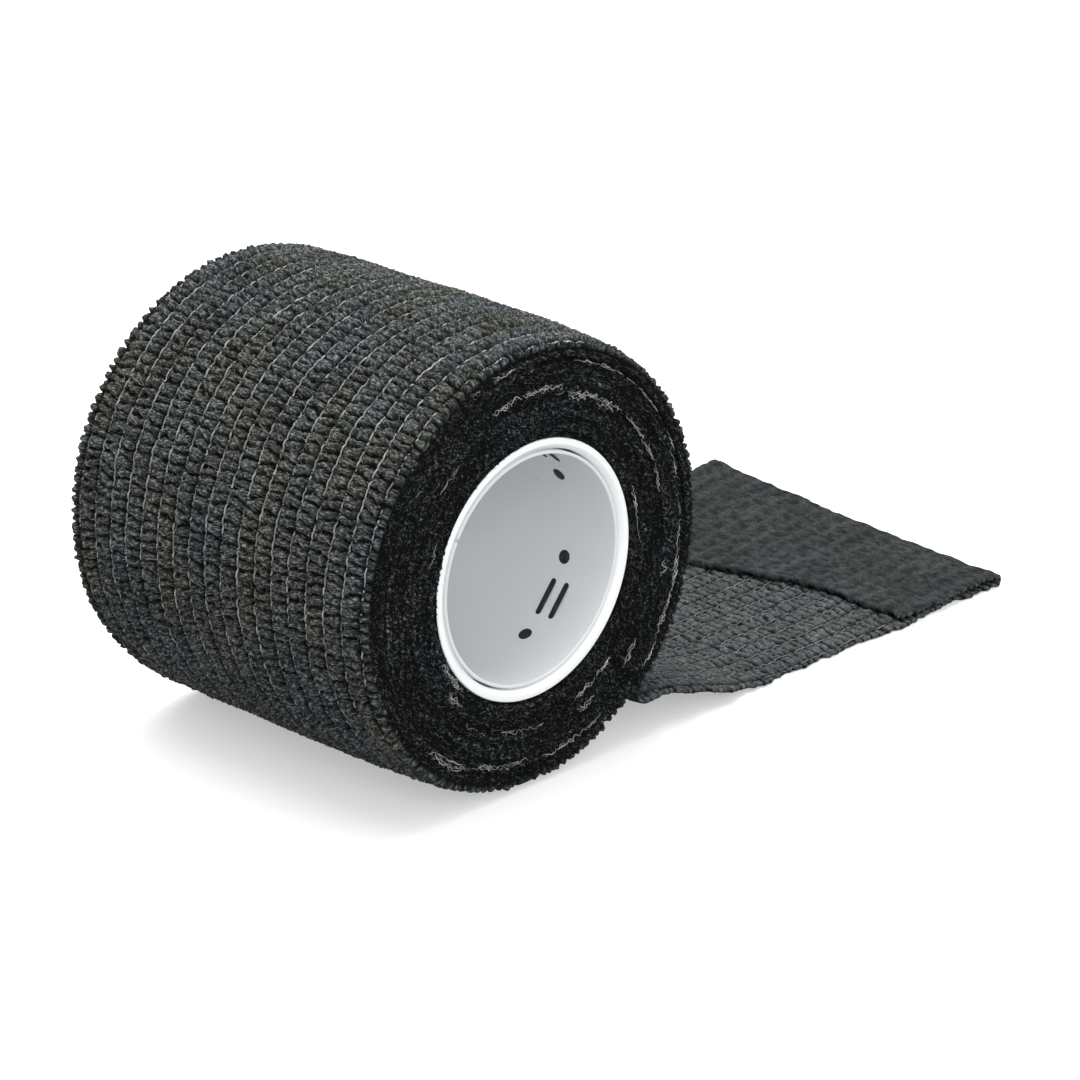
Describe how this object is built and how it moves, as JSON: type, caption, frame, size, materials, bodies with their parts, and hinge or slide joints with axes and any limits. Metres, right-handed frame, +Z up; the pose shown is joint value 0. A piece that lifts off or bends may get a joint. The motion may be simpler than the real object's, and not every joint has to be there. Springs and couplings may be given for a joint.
{
  "type": "cohesive hand wrap roll",
  "caption": "Roll of crimped, self-clinging elastic wrap tape on a hollow plastic core, with a loose tail whose end is folded back on itself.",
  "frame": {"origin": "where the wound roll rests on the surface, under the middle of its axis", "axes": "+X towards the loose tail, Y along the roll's axis and across the tape, +Z up"},
  "size_m": [0.1133, 0.05, 0.055],
  "materials": {
    "core_plastic": "white, satin to gloss",
    "liner_print": null,
    "wound_fabric": "charcoal crimped nonwoven with pale elastic threads",
    "tail_fabric": "charcoal crimped nonwoven, outer face up",
    "folded_fabric": "charcoal crimped nonwoven, inner face up"
  },
  "bodies": {
    "roll": {"core_tube": "core_plastic", "core_liner": "liner_print", "inner_turns": "wound_fabric", "outer_turns": "wound_fabric"},
    "tail_root": {"tail_root": "tail_fabric"},
    "tail_middle": {"tail_middle": "tail_fabric"},
    "tail_end": {"tail_end": "tail_fabric"},
    "folded_end": {"folded_end": "folded_fabric"}
  },
  "joints": [
    {"name": "tail_peel", "type": "hinge", "parent": "roll", "child": "tail_root", "pos_m": [0.01848, 0, 0.00538], "axis": [0, -1, 0], "range_deg": [0, 40]},
    {"name": "tail_curl_near", "type": "hinge", "parent": "tail_root", "child": "tail_middle", "pos_m": [0.03, 0, 0.00305], "axis": [0, -1, 0], "range_deg": [0, 20]},
    {"name": "tail_curl_far", "type": "hinge", "parent": "tail_middle", "child": "tail_end", "pos_m": [0.057, 0, 0.00065], "axis": [0, -1, 0], "range_deg": [0, 30]},
    {"name": "end_unfold", "type": "hinge", "parent": "tail_end", "child": "folded_end", "pos_m": [0.0857, 0, 0.0023], "axis": [0, 0.9982, 0.0599], "range_deg": [0, 175]}
  ]
}
